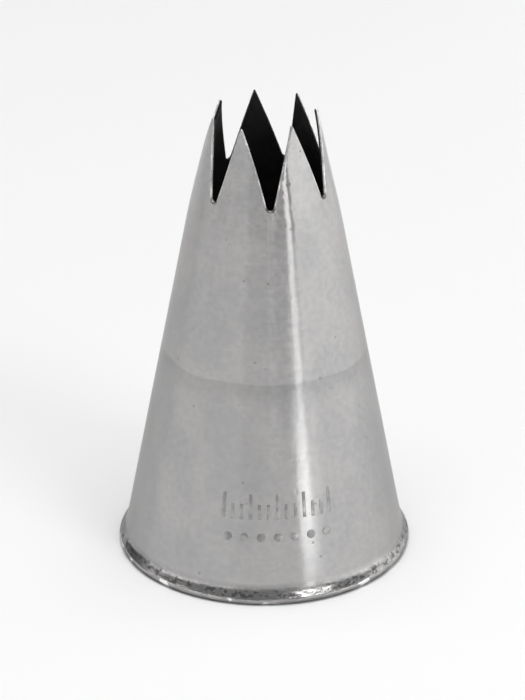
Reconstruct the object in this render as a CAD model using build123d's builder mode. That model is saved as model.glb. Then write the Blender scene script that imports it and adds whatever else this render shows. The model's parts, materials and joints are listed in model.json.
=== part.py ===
# Open star piping nozzle: one seamless sheet of steel, drawn to a cone, with a rolled rim at its wide end
# and an open star of teeth at its narrow end. The rim rests on the XY plane and Z runs up through the outlet.
from build123d import *
import math
import os

# The whole nozzle
nozzle_height = 50.0
rim_diameter = 31.0
outlet_diameter = 10.0  # clear opening between the tips
sheet = 0.4  # thickness of the steel
overrun = 3.0  # how far a cutter or a drawn line runs past what it cuts

# Star: the teeth stand above a slight bend in the wall, with a V notch between each two
tooth_count = 7
tooth_length = 8.3  # from the roots of the notches to the tips
tip_width = 0.3  # outer width of the small flat at each tip
root_radius = 0.35
seat_rise = 0.6  # the teeth begin this far above the roots
bend_drop = 3.0  # from the roots down to the bend
bend_diameter = 15.8
bend_radius = 30.0

# Rolled rim: the wall flares, turns down over a bead and tucks its edge in
rim_overhang = 0.4  # how far the bead stands out past the wall's face where that would meet the table
core_radius = 0.13  # hollow left inside the bead
foot_width = 0.25  # flat land that the bead stands on
flare_lean = 35.0  # degrees from upright
flare_radius = 0.8
curl_sweep = 260.0  # degrees that the bead turns from the flare to the tucked edge
rim_collar = 0.7  # plain wall that the rim keeps above its flare
round_leave = 0.021  # the bead is drawn in straight steps that leave its true round by this at most

# Places worked out from the sizes
pitch = 360.0 / tooth_count
root_height = nozzle_height - tooth_length
seat_height = root_height + seat_rise
bend_place = (bend_diameter / 2, root_height - bend_drop)
base_radius = rim_diameter / 2 - rim_overhang
lower_slope = (base_radius - bend_place[0]) / bend_place[1]
bead_radius = core_radius + sheet

# The teeth lean in so far that their inner faces reach the outlet at the tips
gather = bend_place[0] - outlet_diameter / 2
rise = nozzle_height - bend_place[1]
tooth_lean = math.acos(sheet / math.hypot(gather, rise)) - math.atan2(rise, gather)
tooth_slope = math.tan(tooth_lean)


def outer_radius(height):
    """Outside radius of the sheet at a height, with the bend taken as sharp."""
    if height < bend_place[1]:
        return base_radius - lower_slope * height
    return bend_place[0] - tooth_slope * (height - bend_place[1])


def upright_plane(angle):
    """Upright plane through the axis: its X points out at this angle and its Y points up."""
    turn = math.radians(angle)
    out = (math.cos(turn), math.sin(turn), 0)
    return Plane(origin=(0, 0, 0), x_dir=out, z_dir=(math.sin(turn), -math.cos(turn), 0))


def facing_plane(angle):
    """Upright plane through the axis that faces out at this angle, with its Y pointing up."""
    turn = math.radians(angle)
    out = (math.cos(turn), math.sin(turn), 0)
    return Plane(origin=(0, 0, 0), x_dir=(-math.sin(turn), math.cos(turn), 0), z_dir=out)


# Bead of the rim: its centre lies so high that the table makes a land of foot_width on it
bead_centre = (rim_diameter / 2 - bead_radius, math.sqrt(bead_radius**2 - (foot_width / 2) ** 2))
foot_half_angle = math.degrees(math.asin(foot_width / 2 / bead_radius))


def bead_place(radius, angle):
    """A place round the bead's centre: 0 degrees is straight out and -90 is straight down."""
    turn = math.radians(angle)
    return (bead_centre[0] + radius * math.cos(turn), bead_centre[1] + radius * math.sin(turn))


def bead_round(radius, first, last):
    """Places along one round of the bead, in even steps from one angle to another."""
    longest_step = 2 * math.degrees(math.acos(1 - min(1, round_leave / radius)))
    steps = math.ceil(abs(last - first) / longest_step)
    return [bead_place(radius, first + (last - first) * number / steps) for number in range(steps + 1)]


flare_turn = math.radians(flare_lean)
bead_top = bead_place(bead_radius, flare_lean)
tuck_angle = flare_lean - curl_sweep
# The flare is a straight line up from the bead, which meets the wall's outer face here
flare_run = (bead_top[0] - outer_radius(bead_top[1])) / (math.sin(flare_turn) - lower_slope * math.cos(flare_turn))
flare_top = (
    bead_top[0] - flare_run * math.sin(flare_turn),
    bead_top[1] + flare_run * math.cos(flare_turn),
)
rim_height = flare_top[1] + rim_collar
above_tip = (outer_radius(nozzle_height + overrun), nozzle_height + overrun)
outer_corners = [Vector(*place) for place in (above_tip, bend_place, flare_top, bead_top)]


def inset_corners(inset):
    """The corners of the outer face's line, moved this far into the sheet."""
    runs = [(after - before).normalized() for before, after in zip(outer_corners, outer_corners[1:])]
    inward = [Vector(run.Y, -run.X) for run in runs]
    moved = [outer_corners[0] + inward[0] * inset]
    for corner, before, after in zip(outer_corners[1:], inward, inward[1:]):
        moved.append(corner + (before + after) * (inset / (1 + before.dot(after))))
    return moved + [outer_corners[-1] + inward[-1] * inset]


def wall_face(inset):
    """One face of the sheet, this deep inside its outer face, from above the tips down to the bead."""
    return FilletPolyline(*inset_corners(inset), radius=[bend_radius - inset, flare_radius + inset])


# Section of the whole sheet, drawn once: X is the radius and Y is the height
with BuildSketch() as sheet_section:
    with BuildLine():
        outside = wall_face(0)
        inside = wall_face(sheet)
        flare_to_side = bead_round(bead_radius, flare_lean, 0)
        side_to_foot = bead_round(bead_radius, 0, foot_half_angle - 90)
        foot_to_tuck = bead_round(bead_radius, -foot_half_angle - 90, tuck_angle)
        curl = Polyline(*flare_to_side, *side_to_foot[1:], *foot_to_tuck)
        core = Polyline(*bead_round(bead_radius - sheet, flare_lean, tuck_angle))
        Line(outside @ 0, inside @ 0)
        Line(curl @ 1, core @ 1)
    make_face()


def section_between(low, high):
    """The sheet's section between two heights, in its own XY plane."""
    with BuildSketch() as band:
        add(sheet_section.sketch)
        with Locations((rim_diameter / 2, (low + high) / 2)):
            Rectangle(rim_diameter, high - low, mode=Mode.INTERSECT)
    return band.sketch


def notch_outline():
    """A V as wide at the tips as the gap between two teeth, with a round root."""
    tip_radius = outer_radius(nozzle_height)
    half_tip = math.degrees(math.asin(tip_width / 2 / tip_radius))
    half_gap = tip_radius * math.sin(math.radians(pitch / 2 - half_tip))
    root_centre = root_height + root_radius
    drop = nozzle_height - root_centre
    half_angle = math.atan2(half_gap, drop) - math.asin(root_radius / math.hypot(half_gap, drop))
    apex = root_centre - root_radius / math.sin(half_angle)
    top = nozzle_height + overrun
    half_top = (top - apex) * math.tan(half_angle)
    with BuildSketch() as notch:
        with BuildLine():
            Polyline((0, apex), (half_top, top), (-half_top, top), close=True)
        make_face()
        fillet(notch.vertices().sort_by(Axis.Y)[0], radius=root_radius)
    return notch.sketch


notch_shape = notch_outline()
os.makedirs("parts", exist_ok=True)

# Rolled rim, from the table to the plain wall
with BuildPart() as rolled_rim:
    with BuildSketch(upright_plane(0)):
        add(section_between(0, rim_height))
    revolve(axis=Axis.Z)
rolled_rim.part.label = "rolled_rim"
export_step(rolled_rim.part, "parts/rolled_rim.step")

# Cone wall, from the rim to the seats of the teeth, with the root of each notch cut in its top
with BuildPart() as cone_wall:
    with BuildSketch(upright_plane(0)):
        add(section_between(rim_height, seat_height))
    revolve(axis=Axis.Z)
    for number in range(tooth_count):
        with BuildSketch(facing_plane((number + 0.5) * pitch)):
            add(notch_shape)
        extrude(amount=bend_diameter, mode=Mode.SUBTRACT)
cone_wall.part.label = "cone_wall"
export_step(cone_wall.part, "parts/cone_wall.step")


def make_tooth(middle):
    """One tooth: its share of the wall above the seats, less the notch on each side of it."""
    edges_at = (middle - pitch / 2, middle + pitch / 2)
    with BuildPart() as tooth:
        with BuildSketch(upright_plane(edges_at[0])):
            add(section_between(seat_height, nozzle_height))
        revolve(axis=Axis.Z, revolution_arc=pitch)
        for angle in edges_at:
            with BuildSketch(facing_plane(angle)):
                add(notch_shape)
            extrude(amount=bend_diameter, mode=Mode.SUBTRACT)
    return tooth


# Teeth, numbered round the star from the one on +X
for number in range(tooth_count):
    tooth = make_tooth(number * pitch)
    name = f"tooth_{number + 1}"
    tooth.part.label = name
    export_step(tooth.part, f"parts/{name}.step")
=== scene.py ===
# %% [markdown]
# # An open star piping nozzle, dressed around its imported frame
#
# The real nozzle is one thin sheet of stainless steel. A press draws it to a cone, its wide edge is flared
# and rolled to a bead, and seven V notches are cut in its narrow end so that the metal left over stands up
# as teeth. The frame that loads here has the sizes. This lesson makes the same sheet again as one smooth
# mesh, gives it the finish of satin steel, and sets up the light that such steel needs in order to look like
# steel.

# %% The frame
import json
import math

import bpy
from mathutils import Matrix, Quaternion, Vector

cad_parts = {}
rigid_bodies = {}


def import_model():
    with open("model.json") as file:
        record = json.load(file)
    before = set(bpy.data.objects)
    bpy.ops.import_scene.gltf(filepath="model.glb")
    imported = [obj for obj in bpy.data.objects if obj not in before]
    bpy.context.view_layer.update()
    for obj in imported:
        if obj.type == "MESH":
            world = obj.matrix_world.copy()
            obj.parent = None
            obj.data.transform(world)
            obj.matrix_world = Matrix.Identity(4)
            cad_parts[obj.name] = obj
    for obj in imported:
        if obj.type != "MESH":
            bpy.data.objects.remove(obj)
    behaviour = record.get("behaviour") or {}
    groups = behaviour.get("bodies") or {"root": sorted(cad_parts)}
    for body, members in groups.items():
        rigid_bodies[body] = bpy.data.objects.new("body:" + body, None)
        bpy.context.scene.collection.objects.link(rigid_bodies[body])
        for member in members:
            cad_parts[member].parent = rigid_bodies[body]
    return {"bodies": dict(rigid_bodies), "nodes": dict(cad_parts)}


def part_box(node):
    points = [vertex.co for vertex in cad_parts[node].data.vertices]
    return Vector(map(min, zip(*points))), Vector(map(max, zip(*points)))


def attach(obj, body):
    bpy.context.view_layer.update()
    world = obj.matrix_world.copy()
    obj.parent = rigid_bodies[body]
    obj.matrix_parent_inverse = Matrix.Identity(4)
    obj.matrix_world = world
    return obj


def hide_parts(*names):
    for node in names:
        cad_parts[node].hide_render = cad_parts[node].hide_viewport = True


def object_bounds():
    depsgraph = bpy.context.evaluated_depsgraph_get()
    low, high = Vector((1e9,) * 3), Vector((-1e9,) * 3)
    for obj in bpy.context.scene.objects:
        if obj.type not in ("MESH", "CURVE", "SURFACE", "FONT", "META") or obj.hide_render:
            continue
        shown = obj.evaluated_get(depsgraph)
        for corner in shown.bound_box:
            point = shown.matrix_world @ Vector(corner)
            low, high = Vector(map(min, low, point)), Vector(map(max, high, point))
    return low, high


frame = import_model()
cad_low, cad_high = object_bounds()
body = next(iter(frame["bodies"]))
print("body", body, "with", len(frame["nodes"]), "nodes, from", cad_low, "to", cad_high)

# %% [markdown]
# ## Sizes
#
# Blender works in metres, but parts of this nozzle are a tenth of a millimetre small, and several mesh tools
# treat such lengths as nothing. So the metal is drawn in millimetres and scaled down when it is finished.
# What the frame can say is read from it, and the rest are the sizes that a toolmaker would write on the
# drawing.

# %% Sizes of the nozzle, in millimetres
MM = 0.001
nozzle_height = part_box("tooth_1")[1].z / MM
seat_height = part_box("tooth_1")[0].z / MM
rim_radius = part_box("rolled_rim")[1].x / MM
sheet = 0.4
tooth_count = 7
pitch = 2 * math.pi / tooth_count
seat_rise = 0.6
root_height = seat_height - seat_rise
root_radius = 0.35
outlet_radius = 5.0
tip_width = 0.3
bend_drop = 3.0
bend_radius = 30.0
bend_place = Vector((7.9, root_height - bend_drop))
rim_overhang = 0.4
base_radius = rim_radius - rim_overhang
core_radius = 0.13
bead_radius = core_radius + sheet
foot_width = 0.25
flare_lean = math.radians(35)
flare_radius = 2.4
curl_sweep = math.radians(260)
star_drop = 1.5  # the star is drawn from this far below the roots
star_floor = root_height - star_drop
print(f"height {nozzle_height:.2f}, roots at {root_height:.2f}, rim radius {rim_radius:.2f} mm")

# %% [markdown]
# ## The lean of the walls
#
# The sheet leans in a little from the rim up to a slight bend below the roots of the notches, and a little
# more from there up. The inner faces of the tips stand on the outlet's circle, which settles the lean of the
# teeth. Two lines of trigonometry give it, so nothing has to be tried out by eye.

# %% The lean of the wall and of the teeth
gather = bend_place.x - outlet_radius
rise = nozzle_height - bend_place.y
tooth_lean = math.acos(sheet / math.hypot(gather, rise)) - math.atan2(rise, gather)
tooth_slope = math.tan(tooth_lean)
lower_slope = (base_radius - bend_place.x) / bend_place.y


def tooth_radius(height, depth=0.0):
    """Radius of the leaning teeth at a height, this deep under their outer face."""
    return bend_place.x - tooth_slope * (height - bend_place.y) - depth / math.cos(tooth_lean)


wall_lean = math.degrees(math.atan(lower_slope))
print(f"the wall leans {wall_lean:.2f} and the teeth {math.degrees(tooth_lean):.2f} degrees")


# %% [markdown]
# ## Drawing with single vertices
#
# A section of sheet metal is easiest to draw as a draughtsman does, point by point. A plane is added and
# merged to one vertex, and that vertex is then extruded along straight runs and spun round the centres of
# the arcs. A curve object could hold the same line, but it would have to be turned into a mesh before it
# could be spun. Each helper leaves the last vertex selected, so that the next one goes on from there.

# %% Helpers for drawing
def begin(name, place):
    """Adds an object with one selected vertex at a place, and leaves it in edit mode."""
    bpy.ops.object.select_all(action="DESELECT")
    bpy.ops.mesh.primitive_plane_add(size=1, location=(0, 0, 0))
    bpy.context.object.name = name
    bpy.ops.object.mode_set(mode="EDIT")
    bpy.ops.mesh.select_mode(type="VERT")
    bpy.ops.mesh.select_all(action="SELECT")
    bpy.ops.mesh.merge(type="CENTER")
    bpy.ops.transform.translate(value=place)
    return bpy.context.object


def selected_place(thing):
    """Where the one selected vertex is."""
    thing.update_from_editmode()
    return next(vertex.co.copy() for vertex in thing.data.vertices if vertex.select)


def draw_to(thing, place):
    """Extrudes the selected vertex in a straight run to a place."""
    step = Vector(place) - selected_place(thing)
    bpy.ops.mesh.extrude_region_move(TRANSFORM_OT_translate={"value": step})


def draw_round(centre, angle, steps):
    """Spins the selected vertex round a centre in the plane y = 0, clockwise as seen from the front."""
    bpy.ops.mesh.spin(steps=steps, angle=angle, center=centre, axis=(0, -1, 0))


def pick(thing, kind, wanted):
    """Selects the vertices, edges or faces for which wanted says yes, and nothing else, in edit mode."""
    bpy.ops.object.mode_set(mode="EDIT")
    bpy.ops.mesh.select_mode(type=kind)
    bpy.ops.mesh.select_all(action="DESELECT")
    bpy.ops.object.mode_set(mode="OBJECT")
    mesh = thing.data
    for element in {"VERT": mesh.vertices, "EDGE": mesh.edges, "FACE": mesh.polygons}[kind]:
        element.select = wanted(element)
    bpy.ops.object.mode_set(mode="EDIT")


# %% [markdown]
# ## The section of the wall and the rolled rim
#
# The sheet's section runs down the outer face, out over the flare, round the bead, back along the hollow
# core and up the inner face. It is drawn once in the upright plane y = 0. A Solidify modifier could thicken
# a single line, but it can't tuck the edge of the sheet into its own bead, so both faces are drawn. The four
# blunt corners, two at the bend and two at the flare, are rounded later by bevelling their vertices, which
# keeps the long runs straight between them.

# %% Places of the section
bead_centre = Vector((rim_radius - bead_radius, math.sqrt(bead_radius**2 - (foot_width / 2) ** 2)))
foot_half_angle = math.asin(foot_width / 2 / bead_radius)
bead_top = bead_centre + Vector((math.cos(flare_lean), math.sin(flare_lean))) * bead_radius
flare_run = (bead_top.x - base_radius + lower_slope * bead_top.y) / (
    math.sin(flare_lean) - lower_slope * math.cos(flare_lean)
)
flare_top = bead_top + Vector((-math.sin(flare_lean), math.cos(flare_lean))) * flare_run
outer_corners = [Vector((tooth_radius(star_floor), star_floor)), bend_place, flare_top, bead_top]


def inset_corners(inset):
    """The corners of the outer face's line, moved this far into the sheet."""
    runs = [(after - before).normalized() for before, after in zip(outer_corners, outer_corners[1:])]
    inward = [Vector((run.y, -run.x)) for run in runs]
    moved = [Vector((tooth_radius(star_floor, inset), star_floor))]
    for corner, before, after in zip(outer_corners[1:], inward, inward[1:]):
        moved.append(corner + (before + after) * (inset / (1 + before.dot(after))))
    return moved + [outer_corners[-1] + inward[-1] * inset]


inner_corners = inset_corners(sheet)
print("outer corners", [tuple(round(x, 3) for x in corner) for corner in outer_corners])


def upright(place):
    """A place of the section, as a point of the plane y = 0."""
    return Vector((place.x, 0, place.y))


# %% Draw the section
bead_steps = 30
core_steps = 16
wall = begin("nozzle_shell", upright(outer_corners[0]))
for corner in outer_corners[1:]:
    draw_to(wall, upright(corner))
over_bead = flare_lean + math.pi / 2 - foot_half_angle
under_bead = curl_sweep - over_bead - 2 * foot_half_angle
draw_round(upright(bead_centre), over_bead, round(bead_steps * over_bead / curl_sweep))
draw_to(wall, selected_place(wall) - Vector((foot_width, 0, 0)))
draw_round(upright(bead_centre), under_bead, round(bead_steps * under_bead / curl_sweep))
tuck_angle = flare_lean - curl_sweep
tuck = Vector((math.cos(tuck_angle), math.sin(tuck_angle)))
draw_to(wall, upright(bead_centre + tuck * core_radius))
draw_round(upright(bead_centre), -curl_sweep, core_steps)
for corner in reversed(inner_corners[:-1]):
    draw_to(wall, upright(corner))
wall.update_from_editmode()
print("the section has", len(wall.data.vertices), "vertices")


# %% [markdown]
# ## Rounding the blunt corners
#
# A press can't fold steel to a sharp line. A vertex bevel puts an arc in each corner. Its offset is how far
# the arc starts from the corner, which for a given radius is that radius times the tangent of half the turn.
# The flare of the real nozzle starts in so gentle a sweep that no line shows there, so its arc is wider here
# than in the frame, which moves the face by a few hundredths of a millimetre.

# %% Round the bend and the flare
def round_corner(thing, corners, number, radius, steps):
    """Bevels one corner of the drawn line to an arc of this radius."""
    before, after = corners[number] - corners[number - 1], corners[number + 1] - corners[number]
    place = upright(corners[number])
    pick(thing, "VERT", lambda vertex: (vertex.co - place).length < fine)
    bpy.ops.mesh.bevel(
        offset_type="OFFSET",
        offset=radius * math.tan(before.angle(after) / 2),
        segments=steps,
        profile=0.5,
        affect="VERTICES",
    )


fine = 0.001  # two vertices nearer than this are one
bend_steps = 4
flare_steps = 12
round_corner(wall, outer_corners, 1, bend_radius, bend_steps)
round_corner(wall, inner_corners, 1, bend_radius - sheet, bend_steps)
round_corner(wall, outer_corners, 2, flare_radius, flare_steps)
round_corner(wall, inner_corners, 2, flare_radius + sheet, flare_steps)
wall.update_from_editmode()
print("with rounded corners the section has", len(wall.data.vertices), "vertices")

# %% [markdown]
# ## Spinning the wall
#
# The real cone is drawn by a press and has no seam. The section is spun once round the axis, and the first
# and last columns are merged, so this one has none either. A Screw modifier turns a line in the same way,
# but the spin gives real columns of vertices at once, and the star has to meet them. Their number is a
# multiple of twice the number of teeth, because the star that joins on top repeats that often.

# %% Spin the section round the axis
columns_per_tooth = 24
bpy.ops.mesh.select_all(action="SELECT")
bpy.ops.mesh.spin(steps=tooth_count * columns_per_tooth, angle=2 * math.pi, center=(0, 0, 0), axis=(0, 0, 1))
bpy.ops.mesh.select_all(action="SELECT")
bpy.ops.mesh.remove_doubles(threshold=fine)
bpy.ops.object.mode_set(mode="OBJECT")
print("the wall has", len(wall.data.polygons), "faces")

# %% [markdown]
# ## The star, drawn flat
#
# A notch is punched straight through the wall. A boolean could cut it out of the cone, but it would leave
# long thin faces along the cut, and those spoil the reflections of polished steel. Seen from the side that
# the punch comes from, the outline is a plain V with a round root, so one notch with half a tooth on each
# side is drawn flat, in the plane that faces the notch. It gets its thickness and its rounded lips while it
# is flat, where every corner is a clean one. Later it is draped over the cone. Here y is the way across and
# z is the height, and x holds the depth under the outer face.

# %% Sizes of the notch
tip_radius = tooth_radius(nozzle_height)
half_gap = tip_radius * math.sin(pitch / 2 - math.asin(tip_width / 2 / tip_radius))
root_centre = root_height + root_radius
drop = nozzle_height - root_centre
half_angle = math.atan2(half_gap, drop) - math.asin(root_radius / math.hypot(half_gap, drop))
blank_half_width = bend_place.x * math.sin(pitch / 2) + sheet
root_start = Vector((0, root_radius * math.cos(half_angle), root_centre - root_radius * math.sin(half_angle)))
print(f"the notch opens {math.degrees(2 * half_angle):.1f} degrees, to {2 * half_gap:.2f} mm at the tips")

# %% Draw the blank with its notch
root_steps = 14
tip_round = 0.14
tip_steps = 4
sector = begin("star_sector", (0, blank_half_width, star_floor))
draw_to(sector, (0, blank_half_width, nozzle_height))
draw_to(sector, (0, half_gap, nozzle_height))
draw_to(sector, root_start)
bpy.ops.mesh.spin(
    steps=root_steps,
    angle=math.pi - 2 * half_angle,
    center=(0, 0, root_centre),
    axis=(1, 0, 0),
)
draw_to(sector, (0, -half_gap, nozzle_height))
draw_to(sector, (0, -blank_half_width, nozzle_height))
draw_to(sector, (0, -blank_half_width, star_floor))
bpy.ops.mesh.select_all(action="SELECT")
bpy.ops.mesh.edge_face_add()
pick(sector, "VERT", lambda vertex: vertex.co.z > nozzle_height - fine and abs(vertex.co.y) < half_gap + fine)
bpy.ops.mesh.bevel(offset=tip_round, segments=tip_steps, profile=0.5, affect="VERTICES")
sector.update_from_editmode()
print("the blank has", len(sector.data.vertices), "corners")

# %% [markdown]
# ## Thickness and lips
#
# Punched steel has raw edges, and these nozzles are tumbled with stones until the edges are blunt. The
# stones reach the outer edges best, and the broad round lip that they leave is what catches the light along
# each tooth. A Bevel modifier would round every edge alike, so the blank is extruded by the thickness of the
# sheet, and the edges of the notch are bevelled by hand, more on the outer face than on the inner one. The
# faces that a bevel makes are given their own finish right away.

# %% Thicken the blank and round the lips of the notch
OUTSIDE, INSIDE, CUT, LIP, RIM = range(5)  # places of the finishes in the shell's list of materials
outer_lip, outer_lip_steps = 0.19, 4
inner_lip, inner_lip_steps = 0.085, 3
for finish_name in ("satin_outside_with_painted_shade", "dull_inside_painted_dark", "sheared_edge_painted_dark", "tumbled_lip_with_painted_root_shade", "worn_rim_with_painted_light"):
    for thing in (wall, sector):
        made = bpy.data.materials.get(finish_name) or bpy.data.materials.new(finish_name)
        thing.data.materials.append(made)
bpy.ops.mesh.select_all(action="SELECT")
bpy.ops.mesh.extrude_region_move(TRANSFORM_OT_translate={"value": (-sheet, 0, 0)})
bpy.ops.mesh.select_all(action="SELECT")
bpy.ops.mesh.normals_make_consistent(inside=False)
bpy.ops.object.mode_set(mode="OBJECT")
for face in sector.data.polygons:
    if abs(face.normal.x) < 0.5:
        face.material_index = CUT
    else:
        face.material_index = OUTSIDE if face.normal.x > 0 else INSIDE


def is_lip(edge, depth):
    """Whether an edge of the blank is where the notch or a tip meets the face of the sheet at this depth."""
    ends = [sector.data.vertices[number].co for number in edge.vertices]
    on_notch = [abs(end.y) < blank_half_width - fine and end.z > star_floor + fine for end in ends]
    return any(on_notch) and all(abs(end.x + depth) < fine for end in ends)


def round_lip(depth, width, steps, finish):
    """Rounds the notch's edges on the face at this depth, and gives the new faces a finish."""
    pick(sector, "EDGE", lambda edge: is_lip(edge, depth))
    bpy.ops.mesh.bevel(offset=width, segments=steps, affect="EDGES", material=finish, clamp_overlap=False)


round_lip(0, outer_lip, outer_lip_steps, LIP)
round_lip(sheet, inner_lip, inner_lip_steps, CUT)
sector.update_from_editmode()
print("with its lips the blank has", len(sector.data.vertices), "vertices")

# %% [markdown]
# ## Slicing the blank along the cone's own lines
#
# A flat face can't follow a cone, so the blank is cut along the straight lines that run up the cone. The
# planes of those cuts all pass through the cone's apex, and the two outermost trim the blank at the middles
# of its teeth. The long narrow faces are then cut across as well, in rows from just under the roots to the
# tips, because the teeth will be bent later on and a face can only bend where it has vertices.

# %% Slice the blank
def slice_at(angle, clear_outer=False, clear_inner=False):
    """Bisects the flat blank where the cone has one of its straight lines."""
    bpy.ops.mesh.select_all(action="SELECT")
    bpy.ops.mesh.bisect(
        plane_co=(0, tooth_radius(star_floor) * math.sin(angle), star_floor),
        plane_no=(-math.sin(angle) / math.cos(tooth_lean), 1, math.sin(angle) * tooth_slope),
        threshold=fine / 10,
        clear_outer=clear_outer,
        clear_inner=clear_inner,
    )


slice_at(pitch / 2, clear_outer=True)
slice_at(-pitch / 2, clear_inner=True)
for number in range(1, columns_per_tooth):
    slice_at(pitch * (number / columns_per_tooth - 0.5))
root_margin = 0.2
star_rows = 8
first_row = root_height - root_margin
for number in range(star_rows):
    height = first_row + (nozzle_height - first_row) * number / star_rows
    bpy.ops.mesh.select_all(action="SELECT")
    bpy.ops.mesh.bisect(plane_co=(0, 0, height), plane_no=(0, 0, 1), threshold=fine / 10)
corners = sector.data.vertices
pick(sector, "FACE", lambda face: all(corners[number].co.z < star_floor + fine for number in face.vertices))
bpy.ops.mesh.delete(type="FACE")
sector.update_from_editmode()
print("sliced, the blank has", len(sector.data.polygons), "faces")

# %% [markdown]
# ## Draping
#
# Each vertex now slides straight in, along the way that the punch goes, until it is as deep under the cone's
# face as it was under the blank's. A Shrinkwrap modifier would pull both faces of the sheet to one surface,
# and no operator keeps the depth, so a short loop works the place out.

# %% Drape the blank over the cone
bpy.ops.object.mode_set(mode="OBJECT")
for vertex in sector.data.vertices:
    radius = tooth_radius(vertex.co.z, depth=-vertex.co.x)
    vertex.co.x = math.sqrt(radius**2 - vertex.co.y**2)
print("draped, the sector reaches", max(vertex.co.x for vertex in sector.data.vertices), "mm from the axis")

# %% [markdown]
# ## Seven teeth and one sheet
#
# The sector is copied round the axis, each copy with its own mesh, and all are joined to the wall. Vertices
# that meet are merged, so wall and star become one closed sheet, as the real nozzle is. The last line counts
# the vertices on open edges, and a closed sheet has none.

# %% Copy the sector round and join it to the wall
def turn(thing, angle):
    """Turns an object's mesh about the nozzle's axis."""
    bpy.ops.object.select_all(action="DESELECT")
    thing.select_set(True)
    bpy.context.view_layer.objects.active = thing
    bpy.ops.object.mode_set(mode="EDIT")
    bpy.ops.mesh.select_mode(type="VERT")
    bpy.ops.mesh.select_all(action="SELECT")
    bpy.ops.transform.rotate(value=-angle, orient_axis="Z", center_override=(0, 0, 0))
    bpy.ops.object.mode_set(mode="OBJECT")


sectors = [sector]
for number in range(1, tooth_count):
    bpy.ops.object.select_all(action="DESELECT")
    sector.select_set(True)
    bpy.context.view_layer.objects.active = sector
    bpy.ops.object.duplicate(linked=False)
    sectors.append(bpy.context.object)
for number, thing in enumerate(sectors):
    turn(thing, (number + 0.5) * pitch)
bpy.ops.object.select_all(action="DESELECT")
for thing in [*sectors, wall]:
    thing.select_set(True)
bpy.context.view_layer.objects.active = wall
bpy.ops.object.join()
bpy.ops.object.mode_set(mode="EDIT")
bpy.ops.mesh.select_all(action="SELECT")
bpy.ops.mesh.remove_doubles(threshold=fine)
bpy.ops.mesh.normals_make_consistent(inside=False)
bpy.ops.mesh.select_all(action="DESELECT")
bpy.ops.mesh.select_mode(type="VERT")
bpy.ops.mesh.select_non_manifold()
bpy.ops.object.mode_set(mode="OBJECT")
open_vertices = sum(vertex.select for vertex in wall.data.vertices)
print("the shell has", len(wall.data.polygons), "faces and", open_vertices, "vertices on open edges")

# %% [markdown]
# ## No two teeth are alike
#
# The punch is set by hand, and the finished teeth get knocked about. On the real nozzle the notches stand up
# to two and a half degrees from their even places, and the tips up to half a millimetre. Proportional
# editing could push each tooth by eye, but a smooth formula keeps the sheet as thick as it was. It turns and
# bends the star from its floor to its tips, tooth by tooth from the one on +X. A vertex gets its share by
# where it lies between two teeth and how far up it lies.

# %% How far the teeth and the notches stand off
tip_turns = (6.0, 4.4, 3.9, 4.1, 3.5, -5.9, -0.6)  # degrees
root_turns = (0.0, -0.2, -0.3, 0.0, -2.4, -2.3, -0.4)  # degrees, for the notch after each tooth
tip_leans = (0.7, 0.3, -1.2, -1.2, 2.9, 2.6, -0.6)  # degrees outwards


def between(values, place):
    """A value between the teeth's values, which changes smoothly round the star; place counts in teeth."""
    first = math.floor(place)
    share = (1 - math.cos(math.pi * (place - first))) / 2
    return values[first % tooth_count] * (1 - share) + values[(first + 1) % tooth_count] * share


def smooth_rise(height, low, high):
    """Rises smoothly from 0 at the low height to 1 at the high one."""
    share = min(max((height - low) / (high - low), 0), 1)
    return share * share * (3 - 2 * share)


# %% Nudge the teeth
tooth_length = nozzle_height - root_height
bow_power = 1.5  # a tooth bends more and more towards its tip
for vertex in wall.data.vertices:
    x, y, height = vertex.co
    if height > star_floor + fine:
        angle = math.atan2(y, x)
        tooth_place = angle / pitch
        bow = min(max((height - root_height) / tooth_length, 0), 1) ** bow_power
        root_turn = between(root_turns, tooth_place - 0.5) * smooth_rise(height, star_floor, root_height)
        tip_turn = (between(tip_turns, tooth_place) - between(root_turns, tooth_place - 0.5)) * bow
        lean = math.radians(between(tip_leans, tooth_place)) * bow
        radius = math.hypot(x, y) + tooth_length * math.sin(lean)
        angle += math.radians(root_turn + tip_turn)
        vertex.co = (radius * math.cos(angle), radius * math.sin(angle), height)

print("the tips now reach", round(max(vertex.co.z for vertex in wall.data.vertices), 3), "mm")

# %% [markdown]
# ## A bump beside one root
#
# Right of the root of the front notch the punch has pushed up a small bump, which shows because it bends the
# streak of light that runs past it. The sheet swells there by little more than a tenth of a millimetre, in
# the shape of a bell, so that it has no edge of its own.

# %% Swell the sheet beside the front notch
burr_angle = math.radians(-76.8)
burr_height = root_height - 0.1
burr_reach, burr_rise = 0.3, 0.13
for vertex in wall.data.vertices:
    angle = math.atan2(vertex.co.y, vertex.co.x)
    across = (angle - burr_angle) * bend_place.x
    away = math.hypot(across, vertex.co.z - burr_height)
    if away < 3 * burr_reach:
        push = 1 + burr_rise * math.exp(-((away / burr_reach) ** 2)) / math.hypot(vertex.co.x, vertex.co.y)
        vertex.co.x *= push
        vertex.co.y *= push
print("the bump stands out by", burr_rise, "mm")
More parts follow.
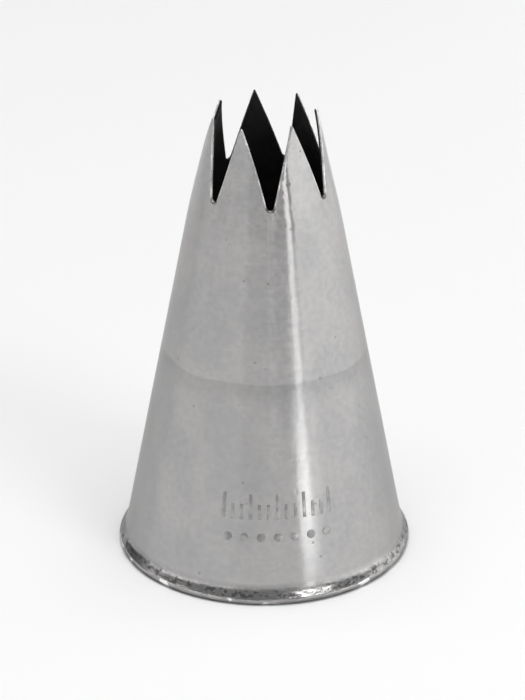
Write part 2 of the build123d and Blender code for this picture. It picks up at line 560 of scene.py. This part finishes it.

# %% [markdown]
# ## Which face has which finish
#
# The inner wall was never polished, so its faces get the dull finish, whose colour is painted dark as shade.
# They are told from the outer ones by the way that they face: inwards, above the rim. The flare and the bead
# have the worn finish of the rim, with its painted shade and highlights.
# Then the shell is brought to metres and smoothed, and edges sharper than 50 degrees stay crisp. Weighted
# normals let the large faces keep their true direction, so the narrow lips beside them don't bend the
# reflections.

# %% Give the inner wall its finish and smooth the shell
for face in wall.data.polygons:
    outward = Vector((face.center.x, face.center.y, 0)).normalized()
    if face.material_index == OUTSIDE and face.normal.dot(outward) < 0 and face.center.z > flare_top.y:
        face.material_index = INSIDE
    elif face.material_index == OUTSIDE and face.center.z < flare_top.y:
        face.material_index = RIM
bpy.ops.object.mode_set(mode="EDIT")
bpy.ops.mesh.select_all(action="SELECT")
bpy.ops.transform.resize(value=(MM, MM, MM), center_override=(0, 0, 0))
bpy.ops.object.mode_set(mode="OBJECT")
bpy.ops.object.shade_smooth_by_angle(angle=math.radians(50))
weigh = wall.modifiers.new("weighted_normals", "WEIGHTED_NORMAL")
weigh.keep_sharp = True
bpy.ops.object.modifier_apply(modifier=weigh.name)
print("the shell spans", [round(side / MM, 3) for side in wall.dimensions], "mm")

# %% The shell stands for the whole frame
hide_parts(*frame["nodes"])
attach(wall, body)
print(wall.name, "stands for", ", ".join(frame["nodes"]))


# %% [markdown]
# ## A generic size mark
#
# Such nozzles have shallow marks stamped low on the wall. Here it is a plain one: a scale of long and short
# ticks over a row of seven pips, one for each tooth. A bump in the material would be less work, but it would
# be missing from the exported mesh. So one of each is modelled, blunted with a bevel, leaned on the wall and
# copied round it, and sunk into the sheet until only a few hundredths of a millimetre of it show.

# %% Model a long tick, a short one and a pip
def wall_radius(height):
    """Outer radius of the lower wall at a height."""
    return base_radius - lower_slope * height


def set_on_wall(thing, size, height):
    """Gives a primitive its size, blunts it, and leans it on the wall at a height, on the +X side."""
    bpy.ops.object.mode_set(mode="EDIT")
    bpy.ops.mesh.select_all(action="SELECT")
    bpy.ops.transform.resize(value=size)
    bpy.ops.mesh.bevel(offset=mark_blunting, segments=2, affect="EDGES")
    bpy.ops.transform.rotate(value=math.atan(lower_slope), orient_axis="Y", center_override=(0, 0, 0))
    bpy.ops.transform.translate(value=(wall_radius(height) + mark_rise - size[0] / 2, 0, height))
    bpy.ops.object.mode_set(mode="OBJECT")


mark_rise, mark_blunting = 0.035, 0.0315
sunk = 0.3  # how thick a tick or pip is, most of it inside the sheet
tick_width, tick_foot = 0.36, 9.1
long_tick, short_tick = 2.8, 1.7
pip_width, pip_height = 0.95, 7.2
bpy.ops.object.select_all(action="DESELECT")
bpy.ops.mesh.primitive_cube_add(size=1, location=(0, 0, 0))
tick = bpy.context.object
tick.name = "size_mark"
set_on_wall(tick, (sunk, tick_width, long_tick), tick_foot + long_tick / 2)
bpy.ops.mesh.primitive_cube_add(size=1, location=(0, 0, 0))
small_tick = bpy.context.object
set_on_wall(small_tick, (sunk, tick_width, short_tick), tick_foot + short_tick / 2)
bpy.ops.mesh.primitive_cylinder_add(vertices=24, radius=0.5, depth=1, rotation=(0, math.pi / 2, 0))
pip = bpy.context.object
bpy.ops.object.transform_apply(location=False, rotation=True, scale=False)
set_on_wall(pip, (sunk, pip_width, pip_width), pip_height)
print("a tick has", len(tick.data.polygons), "faces and a pip", len(pip.data.polygons))

# %% Copy them round the wall
mark_middle = math.radians(-78.5)
tick_step, pip_step = math.radians(12.3), math.radians(7.4)
long_ticks = 5
short_ticks = 2 * (long_ticks - 1)
marks = []
for first, count in ((tick, long_ticks), (small_tick, short_ticks), (pip, tooth_count)):
    for number in range(count):
        thing = first
        if number > 0:
            bpy.ops.object.select_all(action="DESELECT")
            first.select_set(True)
            bpy.context.view_layer.objects.active = first
            bpy.ops.object.duplicate(linked=False)
            thing = bpy.context.object
        if first == small_tick:  # two between each two long ones
            angle = (number // 2 - (long_ticks - 1) / 2 + (1 + number % 2) / 3) * tick_step
        else:
            angle = (number - (count - 1) / 2) * (pip_step if first == pip else tick_step)
        marks.append((thing, mark_middle + angle))
for thing, angle in marks:
    turn(thing, angle)
bpy.ops.object.select_all(action="DESELECT")
for thing, angle in marks:
    thing.select_set(True)
bpy.context.view_layer.objects.active = tick
bpy.ops.object.join()
bpy.ops.object.mode_set(mode="EDIT")
bpy.ops.mesh.select_all(action="SELECT")
bpy.ops.transform.resize(value=(MM, MM, MM), center_override=(0, 0, 0))
bpy.ops.object.mode_set(mode="OBJECT")
bpy.ops.object.shade_smooth_by_angle(angle=math.radians(50))
tick.data.materials.append(bpy.data.materials.new("stamped_mark"))
print("the mark has", len(marks), "ticks and pips")

# %% The mark rides with the body
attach(tick, body)
print(tick.name, "rides with", body)

# %% [markdown]
# ## Helpers for finishes
#
# A finish is a graph of nodes that ends in one Principled shader, and small helpers keep the graphs short.
# They work in millimetres of the shell's own coordinates, so a pattern stays where it is on the steel when
# the nozzle moves. Each helper gives back the output that it made, and the next one takes that as its input.

# %% Helpers that make nodes
def add_node(owner, kind, inputs, **settings):
    """Adds a node to a material or world. An input is given a value or the output of another node."""
    made = owner.node_tree.nodes.new("ShaderNode" + kind)
    for name, value in settings.items():
        setattr(made, name, value)
    for name, value in inputs.items():
        if isinstance(value, bpy.types.NodeSocket):
            owner.node_tree.links.new(value, made.inputs[name])
        else:
            made.inputs[name].default_value = value
    return made


def start_finish(name):
    """Empties a material and gives it a metal shader; returns both, and the place in millimetres."""
    made = bpy.data.materials[name]
    made.use_nodes = True
    made.node_tree.nodes.clear()
    shader = add_node(made, "BsdfPrincipled", {"Metallic": 1.0})
    add_node(made, "OutputMaterial", {"Surface": shader.outputs["BSDF"]})
    own = add_node(made, "TexCoord", {}).outputs["Object"]
    here = add_node(made, "VectorMath", {0: own, "Scale": 1 / MM}, operation="SCALE")
    return made, shader, here.outputs["Vector"]


def height_of(owner, here):
    """The height part of a place."""
    return add_node(owner, "SeparateXYZ", {"Vector": here}).outputs["Z"]


# %% Helpers for patterns
def ramp(owner, value, between, ends):
    """Goes smoothly from the first end to the second while a value goes between two numbers."""
    made = add_node(owner, "MapRange", {"Value": value}, interpolation_type="SMOOTHSTEP")
    for name, number in zip(("From Min", "From Max", "To Min", "To Max"), (*between, *ends)):
        made.inputs[name].default_value = number
    return made.outputs["Result"]


def blend(owner, share, *ends):
    """Goes from the first end to the second while a share goes from 0 to 1."""
    return ramp(owner, share, (0.0, 1.0), ends)


def cloud(owner, here, lumps, detail, between=(0.3, 0.7)):
    """Noise from 0 to 1 with this many lumps a millimetre along X, Y and Z."""
    stretched = add_node(owner, "VectorMath", {0: here, 1: lumps}, operation="MULTIPLY")
    settings = {"Vector": stretched.outputs["Vector"], "Scale": 1.0, "Detail": detail}
    noise = add_node(owner, "TexNoise", settings)
    return ramp(owner, noise.outputs["Fac"], between, (0.0, 1.0))


def specks(owner, here, scale, between):
    """Scattered round specks: 1 in the middle of each and 0 around them."""
    cells = add_node(owner, "TexVoronoi", {"Vector": here, "Scale": scale})
    return ramp(owner, cells.outputs["Distance"], between, (1.0, 0.0))


def combine(owner, operation, first, *others):
    """Adds or multiplies values, one after the other."""
    for other in others:
        first = add_node(owner, "Math", {0: first, 1: other}, operation=operation).outputs["Value"]
    return first


# %% Helpers that feed the shader
def paint(owner, shader, colours, tint, strength):
    """Feeds the base colour: a tint between two colours, times a strength."""
    mixed = add_node(owner, "ValToRGB", {"Fac": tint})
    for stop, colour in zip(mixed.color_ramp.elements, colours):
        stop.color = (*colour, 1)
    scaled = add_node(owner, "VectorMath", {0: mixed.outputs["Color"], "Scale": strength}, operation="SCALE")
    owner.node_tree.links.new(scaled.outputs["Vector"], shader.inputs["Base Color"])


def roughen(owner, shader, roughness):
    """Feeds the roughness."""
    owner.node_tree.links.new(roughness, shader.inputs["Roughness"])


def emboss(owner, shader, relief):
    """Feeds the normal with a relief in millimetres."""
    made = add_node(owner, "Bump", {"Height": relief, "Strength": 1.0, "Distance": MM})
    owner.node_tree.links.new(made.outputs["Normal"], shader.inputs["Normal"])


# %% [markdown]
# ## Satin steel
#
# The outer wall was polished while it turned, which leaves lines that run round the cone, too fine to see
# one by one. They spread each highlight up and down the wall and keep it sharp sideways. Lines drawn as
# bumps would flicker at this distance, so the shader's anisotropy does the same along a tangent that runs
# round Z. The specular tint takes away some of the extra gleam that a metal shader has where the wall turns
# out of sight.

# %% How satin steel reflects
satin, shader, here = start_finish("satin_outside_with_painted_shade")
shader.inputs["Anisotropic"].default_value = 0.9
shader.inputs["Anisotropic Rotation"].default_value = 0.25
shader.inputs["Specular Tint"].default_value = (0.72, 0.72, 0.72, 1)
round_axis = add_node(satin, "Tangent", {}, direction_type="RADIAL", axis="Z")
satin.node_tree.links.new(round_axis.outputs["Tangent"], shader.inputs["Tangent"])

# %% [markdown]
# The tone isn't even. Handling and washing leave soft clouds and a finer grain, and there are a few pits and
# knocks. The pits are also painted darker, as shade in their hollows. Halfway up runs a ring where the
# drawing press let go of the steel. Just under it the colour is painted a little darker, as the shade of a
# slight dip there, and it comes back to its tone further down. The ring wavers by a tenth of a millimetre or
# so. Each of these is a share from 0 to 1, which then scales the colour, the roughness and the relief by its
# own amount.

# %% What has happened to the satin steel, with painted shade under the ring and in the pits
height = height_of(satin, here)
ring = 23.4
clouds = cloud(satin, here, (0.22, 0.22, 0.16), 3.0)
grain = cloud(satin, here, (1.7, 1.7, 1.5), 3.0)
turned = cloud(satin, here, (0.3, 0.3, 12.0), 3.0)
waves = cloud(satin, here, (0.35, 0.35, 0.25), 1.0)
pits = specks(satin, here, 0.5, (0.03, 0.08))
knocks = specks(satin, here, 0.8, (0.05, 0.28))
round_about = cloud(satin, here, (0.12, 0.12, 0.0), 0.0)
wavering = combine(satin, "ADD", height, blend(satin, round_about, -0.15, 0.15))
painted_ring_shade = combine(
    satin,
    "MULTIPLY",
    ramp(satin, wavering, (ring - 3.2, ring - 0.1), (0.0, 1.0)),
    ramp(satin, wavering, (ring - 0.1, ring + 0.1), (1.0, 0.0)),
)
strength = combine(
    satin,
    "MULTIPLY",
    blend(satin, clouds, 0.96, 1.04),
    blend(satin, grain, 0.955, 1.045),
    blend(satin, turned, 0.985, 1.015),
    # painted shade: the colour is a shade darker just under the ring
    blend(satin, painted_ring_shade, 1.0, 0.88),
    # painted shade: the colour is darker in the pits, on top of their relief
    blend(satin, pits, 1.0, 0.65),
)
paint(satin, shader, ((0.435, 0.435, 0.435), (0.444, 0.43, 0.426)), clouds, strength)
roughness = combine(
    satin,
    "ADD",
    ramp(satin, wavering, (ring - 3.4, ring + 0.6), (0.26, 0.225)),
    ramp(satin, height, (35.0, 43.0), (0.0, -0.045)),
    blend(satin, grain, -0.01, 0.01),
)
roughen(satin, shader, roughness)
relief = combine(
    satin,
    "ADD",
    blend(satin, waves, 0.0, 0.006),
    blend(satin, turned, 0.0, 0.0006),
    blend(satin, grain, 0.0, 0.0012),
    blend(satin, pits, 0.0, -0.015),
    blend(satin, knocks, 0.0, -0.004),
)
emboss(satin, shader, relief)
print("satin steel:", len(satin.node_tree.nodes), "nodes")

# %% [markdown]
# ## The worn rim, with painted shade and highlights
#
# The bead is what gets gripped, knocked and pushed into couplers, so its steel is blotchy and grainy. Low on
# the flare, just above the bead, dark specks are painted shade for the groove there. The bead below them is
# uneven and shinier. Small patches of it are painted bright as highlights, and its foot is painted darker as
# the shade where it meets the table. An image could be painted for it, but noise that is masked by height
# needs no unwrapping and goes round without a seam. Higher up the flare keeps the tone of the wall, so no
# line shows where the two finishes meet. The specular tint is lower than the wall's, because the flare gets
# darker towards its outline.

# %% Worn steel of the flare and the bead, with painted shade and highlights
worn, shader, here = start_finish("worn_rim_with_painted_light")
shader.inputs["Specular Tint"].default_value = (0.55, 0.55, 0.55, 1)
height = height_of(worn, here)
blotches = cloud(worn, here, (0.7, 0.7, 2.0), 4.0)
grain = cloud(worn, here, (3.0, 3.0, 4.0), 3.0)
on_bead = ramp(worn, height, (0.7, 1.6), (1.0, 0.0))
# painted shade: dark specks low on the flare, in the groove above the bead
painted_flare_shade = combine(
    worn,
    "MULTIPLY",
    ramp(worn, cloud(worn, here, (1.6, 1.6, 2.6), 3.0), (0.55, 0.8), (0.0, 1.0)),
    ramp(worn, height, (0.7, 1.0), (0.0, 1.0)),
    ramp(worn, height, (1.35, 1.75), (1.0, 0.0)),
)
# painted highlights: small bright patches on the lower bead
painted_bead_glints = combine(
    worn,
    "MULTIPLY",
    ramp(worn, cloud(worn, here, (0.28, 0.28, 0.5), 2.0), (0.72, 0.86), (0.0, 1.0)),
    ramp(worn, height, (0.6, 0.9), (1.0, 0.0)),
)
strength = combine(
    worn,
    "MULTIPLY",
    ramp(worn, blotches, (0.1, 0.9), (0.88, 1.14)),
    blend(worn, grain, 0.94, 1.06),
    blend(worn, painted_flare_shade, 1.0, 0.5),
    # painted shade: the foot of the bead is darker, where it meets the table
    ramp(worn, height, (0.3, 0.75), (0.6, 1.0)),
    blend(worn, painted_bead_glints, 1.0, 2.6),
)
paint(worn, shader, ((0.42, 0.42, 0.42), (0.42, 0.405, 0.4)), blotches, strength)
shinier = combine(worn, "MULTIPLY", on_bead, blend(worn, blotches, 0.02, -0.06))
roughen(worn, shader, combine(worn, "ADD", blend(worn, blotches, 0.24, 0.2), shinier))
uneven = combine(worn, "MULTIPLY", on_bead, blend(worn, blotches, 0.0, 0.02))
emboss(worn, shader, combine(worn, "ADD", blend(worn, grain, 0.0, 0.002), uneven))
print("worn rim:", len(worn.node_tree.nodes), "nodes")

# %% [markdown]
# ## The inner wall
#
# No tool ever polished the inside. It keeps the grey skin that the steel got in the annealing furnace,
# mottled and nearly matt. Its colour is painted nearly black, as the shade inside the cone where little light
# gets in, and that is why the star looks black from outside. A dark colour with high roughness is enough for
# it, with clouds so that it isn't flat.

# %% Dull steel of the inner wall, painted dark as shade
dull, shader, here = start_finish("dull_inside_painted_dark")
skin = cloud(dull, here, (0.5, 0.5, 0.35), 4.0)
# painted shade: a nearly black colour for the dark inside of the cone
paint(dull, shader, ((0.055, 0.055, 0.055), (0.066, 0.065, 0.063)), skin, blend(dull, skin, 0.8, 1.2))
roughen(dull, shader, blend(dull, skin, 0.7, 0.58))
emboss(dull, shader, blend(dull, skin, 0.0, 0.01))
print("inner wall:", len(dull.node_tree.nodes), "nodes")

# %% [markdown]
# ## The cut faces and the lips
#
# The punch shears the first part of the sheet and tears the rest, so the cut faces are streaked along its
# way. Their colour is painted nearly black, as shade, because they face into the narrow notches. The tumbled
# lips are the brightest steel of all, with nicks in them, and more worn in some places than in others. In the
# roots of the notches the lips are painted darker, as the shade that falls into the narrow root, and made
# rougher. Both have faces of their own, so each gets a whole finish instead of a mask.

# %% Torn steel of the cut faces, painted dark as shade
torn, shader, here = start_finish("sheared_edge_painted_dark")
streaks = cloud(torn, here, (2.5, 2.5, 9.0), 3.0)
# painted shade: a nearly black colour for the cut faces
paint(torn, shader, ((0.035, 0.035, 0.035), (0.045, 0.044, 0.043)), streaks, blend(torn, streaks, 0.6, 1.4))
roughen(torn, shader, blend(torn, streaks, 0.5, 0.35))
emboss(torn, shader, blend(torn, streaks, 0.0, 0.01))
print("cut faces:", len(torn.node_tree.nodes), "nodes")

# %% Tumbled steel of the lips, with painted shade in the roots
tumbled, shader, here = start_finish("tumbled_lip_with_painted_root_shade")
height = height_of(tumbled, here)
nicks = cloud(tumbled, here, (2.0, 2.0, 1.4), 4.0)
in_root = ramp(tumbled, height, (root_height, root_height + 0.7), (1.0, 0.0))
strength = combine(
    tumbled,
    "MULTIPLY",
    blend(tumbled, nicks, 0.8, 1.1),
    ramp(tumbled, cloud(tumbled, here, (0.4, 0.4, 0.3), 1.0), (0.2, 0.8), (0.8, 1.2)),
    # painted shade: the lips are darker in the roots of the notches
    blend(tumbled, in_root, 1.0, 0.3),
)
paint(tumbled, shader, ((0.58, 0.58, 0.58), (0.66, 0.65, 0.64)), nicks, strength)
dull_root = blend(tumbled, in_root, 0.0, 0.25)
roughen(tumbled, shader, combine(tumbled, "ADD", blend(tumbled, nicks, 0.34, 0.2), dull_root))
emboss(tumbled, shader, blend(tumbled, nicks, 0.0, 0.02))
print("lips:", len(tumbled.node_tree.nodes), "nodes")

# %% [markdown]
# ## The size mark
#
# A stamp crushes the skin of the steel, so a mark is a shade darker and rougher than the wall round it. Its
# highest places are worn nearly back to the tone of the wall. The clouds that mix the two are fine ones,
# because the ticks are narrow.

# %% Stamped steel of the mark
stamped, shader, here = start_finish("stamped_mark")
wear = cloud(stamped, here, (1.2, 1.2, 1.2), 4.0)
paint(stamped, shader, ((0.32, 0.32, 0.32), (0.33, 0.322, 0.32)), wear, blend(stamped, wear, 0.85, 1.2))
roughen(stamped, shader, blend(stamped, wear, 0.45, 0.3))
emboss(stamped, shader, blend(stamped, wear, 0.0, 0.006))
print("finishes:", [slot.name for slot in (*wall.data.materials, *tick.data.materials)])

# %% [markdown]
# ## The camera
#
# The photograph looks down on the nozzle from some 26 degrees, through a long lens half a metre off. How far
# the ellipse of the rim is flattened gave the angle, and how much the cone narrows upwards gave the
# distance. The last fractions of a degree only move the nozzle to its place in the frame. From here on, each
# direction is told in degrees to the right of the camera and degrees above the floor.

# %% Camera
camera_azimuth = 5.4
camera_elevation = 26.403
camera_distance = 0.50495
camera_pan = 0.02
camera_tilt = -0.281
camera_target = Vector((0, 0, cad_high.z / 2))


def way_to(azimuth, elevation=0.0):
    """The way out from the nozzle to something this far to the right of the camera and above the floor."""
    turned_by, lifted_by = math.radians(camera_azimuth + azimuth), math.radians(elevation)
    flat = math.cos(lifted_by)
    return Vector((math.sin(turned_by) * flat, -math.cos(turned_by) * flat, math.sin(lifted_by)))


to_camera = way_to(0, camera_elevation)
bpy.ops.object.camera_add(location=camera_target + to_camera * camera_distance)
camera = bpy.context.object
camera.name = "camera"
camera.data.lens = 247.0
camera.data.sensor_width = 36.0
camera.data.clip_start = 0.01
camera.rotation_mode = "QUATERNION"
pan = Quaternion((0, 1, 0), math.radians(camera_pan))
tilt = Quaternion((1, 0, 0), math.radians(camera_tilt))
camera.rotation_quaternion = (-to_camera).to_track_quat("-Z", "Y") @ pan @ tilt
bpy.context.scene.camera = camera
print("the camera stands at", [round(side, 4) for side in camera.location])

# %% [markdown]
# ## The floor
#
# Steel shows little of itself and much of what stands around it. Over most of its height the wall of this
# nozzle reflects the floor, so a pale and nearly matt one does half of the lighting. A circle is used
# because it has no corner that the steel could show.

# %% Floor
bpy.ops.object.select_all(action="DESELECT")
bpy.ops.mesh.primitive_circle_add(vertices=96, radius=1.5, fill_type="NGON", location=(0, 0, 0))
floor = bpy.context.object
floor.name = "floor"
paper = bpy.data.materials.new("pale_floor")
paper.use_nodes = True
paper_shader = paper.node_tree.nodes["Principled BSDF"]
paper_shader.inputs["Base Color"].default_value = (0.86, 0.86, 0.86, 1)
paper_shader.inputs["Roughness"].default_value = 0.6
paper_shader.inputs["Specular IOR Level"].default_value = 0.2
floor.data.materials.append(paper)
print("the floor is", round(floor.dimensions.x, 2), "m wide")


# %% [markdown]
# ## Panels, cards and flags
#
# A photographer lights steel with three kinds of things. Soft panels shine on the floor and the steel. White
# cards stand where the steel should reflect something bright. Black flags stand where it should reflect
# something dark, and give a bright streak its sharp dark side. Panels are area lights here, and their power
# is worked out from how bright they look, with white paper as 1. Cards and flags are planes that glow by a
# set amount, or not at all. Neither kind shows in the picture itself.

# %% Helpers for lights
def hang_panel(name, place, facing, width, height, brightness):
    """A glowing panel at a place, which faces along a way."""
    bpy.ops.object.light_add(type="AREA", location=place)
    lamp = bpy.context.object
    lamp.name = name
    lamp.data.shape = "RECTANGLE"
    lamp.data.size, lamp.data.size_y = width, height
    lamp.data.energy = brightness * math.pi * width * height
    lamp.rotation_mode = "QUATERNION"
    lamp.rotation_quaternion = facing.to_track_quat("-Z", "Y")
    lamp.visible_camera = False
    print(name, "shines with", round(lamp.data.energy, 3), "W")
    return lamp


def lay_panel(name, azimuth, distance, width, length, brightness):
    """A panel that lies on the floor and glows upwards, with its length along the way out."""
    place = way_to(azimuth) * distance + Vector((0, 0, 0.0005))
    lamp = hang_panel(name, place, Vector((0, 0, 1)), width, length, brightness)
    face_up = Quaternion((1, 0, 0), math.pi)
    lamp.rotation_quaternion = Quaternion((0, 0, 1), math.radians(camera_azimuth + azimuth)) @ face_up


def stand_card(name, azimuth, distance, width, low, high, brightness):
    """A card that stands between two heights, with a brightness for its left side and one for its right."""
    bpy.ops.object.select_all(action="DESELECT")
    middle = way_to(azimuth) * distance + Vector((0, 0, (low + high) / 2))
    bpy.ops.mesh.primitive_plane_add(size=1, location=middle)
    card = bpy.context.object
    card.name = name
    card.rotation_euler = (math.pi / 2, 0, math.radians(camera_azimuth + azimuth))
    card.scale = (width, high - low, 1)
    card.visible_camera = False
    glowing = bpy.data.materials.new(name)
    glowing.use_nodes = True
    glowing.node_tree.nodes.clear()
    own = add_node(glowing, "TexCoord", {}).outputs["Object"]
    across = add_node(glowing, "SeparateXYZ", {"Vector": own}).outputs["X"]
    glow = add_node(glowing, "Emission", {"Strength": ramp(glowing, across, (-0.5, 0.5), brightness)})
    add_node(glowing, "OutputMaterial", {"Surface": glow.outputs["Emission"]})
    card.data.materials.append(glowing)
    print(name, "stands", distance, "m off")


# %% [markdown]
# The panel overhead lights the floor and the key makes the highlight on the bead. The streak is a reflection
# too. The upper wall sees a narrow card that stands 0.22 m off, and the lower wall sees what lies on the
# floor nearer than that, so the streak goes on there as a strip on the floor, with a short second strip for
# its foot. That one is bright because it is small. It lies less far to the right, because a ray that leaves
# the wall drifts to the right as it goes out. A flag on each side of the card keeps the streak crisp.

# %% Panels overhead and the streak
streak_azimuth = 36.3
card_distance = 0.22
foot_end = 0.066  # where the strip for the foot ends and the other one starts
overhead = way_to(0, 88)
key = way_to(streak_azimuth + 7, 40)
hang_panel("overhead", camera_target + overhead * 0.8, -overhead, 0.7, 0.7, 3.7)
hang_panel("key", camera_target + key * 0.9, -key, 0.3, 0.3, 5)
stand_card("streak_card", streak_azimuth, card_distance, 0.027, 0, 0.1, (1.75, 1.75))
stand_card("left_flag", streak_azimuth - 4.4, card_distance, 0.006, 0.004, 0.022, (0, 0))
stand_card("right_flag", streak_azimuth + 5.3, card_distance, 0.014, 0.018, 0.07, (0, 0))
strips = (
    ("streak_on_floor", 4, foot_end, card_distance, 0.024, 0.6),
    ("streak_foot", -3.5, 0.038, foot_end, 0.01, 3.1),
)
for name, aside, start, end, width, brightness in strips:
    lay_panel(name, streak_azimuth + aside, (start + end) / 2, width, end - start, brightness)

# %% [markdown]
# Left of the streak a grey card makes the wall a shade darker. On the right a long low panel lights the
# floor, which makes that side of the wall paler. The teeth lean in more than the wall, so they reflect that
# panel itself, and the teeth on the left have a weaker one of their own. Two panels that lie behind the
# nozzle lift the sides of the cone that turn away. The cards that stand behind it are for its far sides: the
# flare of the rim reflects a dark room on the left and a pale one on the right.

# %% Tone of the left and the right side
stand_card("left_card", 18, card_distance, 0.105, 0, 0.06, (0.8, 0.42))
stand_card("behind_left", -135, 0.5, 0.6, 0, 0.14, (0.1, 0.1))
stand_card("behind_right", 128, 0.18, 0.2, 0, 0.045, (1.2, 1.2))
right = way_to(92)
hang_panel("right_panel", right * 0.4 + Vector((0, 0, 0.065)), -right, 0.84, 0.13, 0.92)
lay_panel("lying_right", 118, 0.17, 0.24, 0.2, 0.15)
left = way_to(-60)
hang_panel("left_panel", left * 0.4 + Vector((0, 0, 0.11)), -left, 0.6, 0.08, 0.75)
lay_panel("lying_behind", 180, 0.165, 0.34, 0.12, 0.27)

# %% [markdown]
# ## The room
#
# The room is pale up to some 16 degrees above the floor, and has fallen to a darker grey at 26. The rim's
# flare looks up so steeply in front that it reflects the darker part, which gives the rim its dark band. At
# the sides it looks lower, and there the band runs out to the edge and ends. A ramp on the height of each
# direction makes such a room without any walls.

# %% The room
world = bpy.data.worlds.new("studio")
bpy.context.scene.world = world
world.use_nodes = True
seen = add_node(world, "TexCoord", {}).outputs["Generated"]
background = world.node_tree.nodes["Background"]
background.inputs["Color"].default_value = (1, 1, 1, 1)
pale_to_dark = ramp(world, height_of(world, seen), (0.28, 0.44), (0.62, 0.28))
world.node_tree.links.new(pale_to_dark, background.inputs["Strength"])
bpy.context.scene.view_settings.view_transform = "Standard"
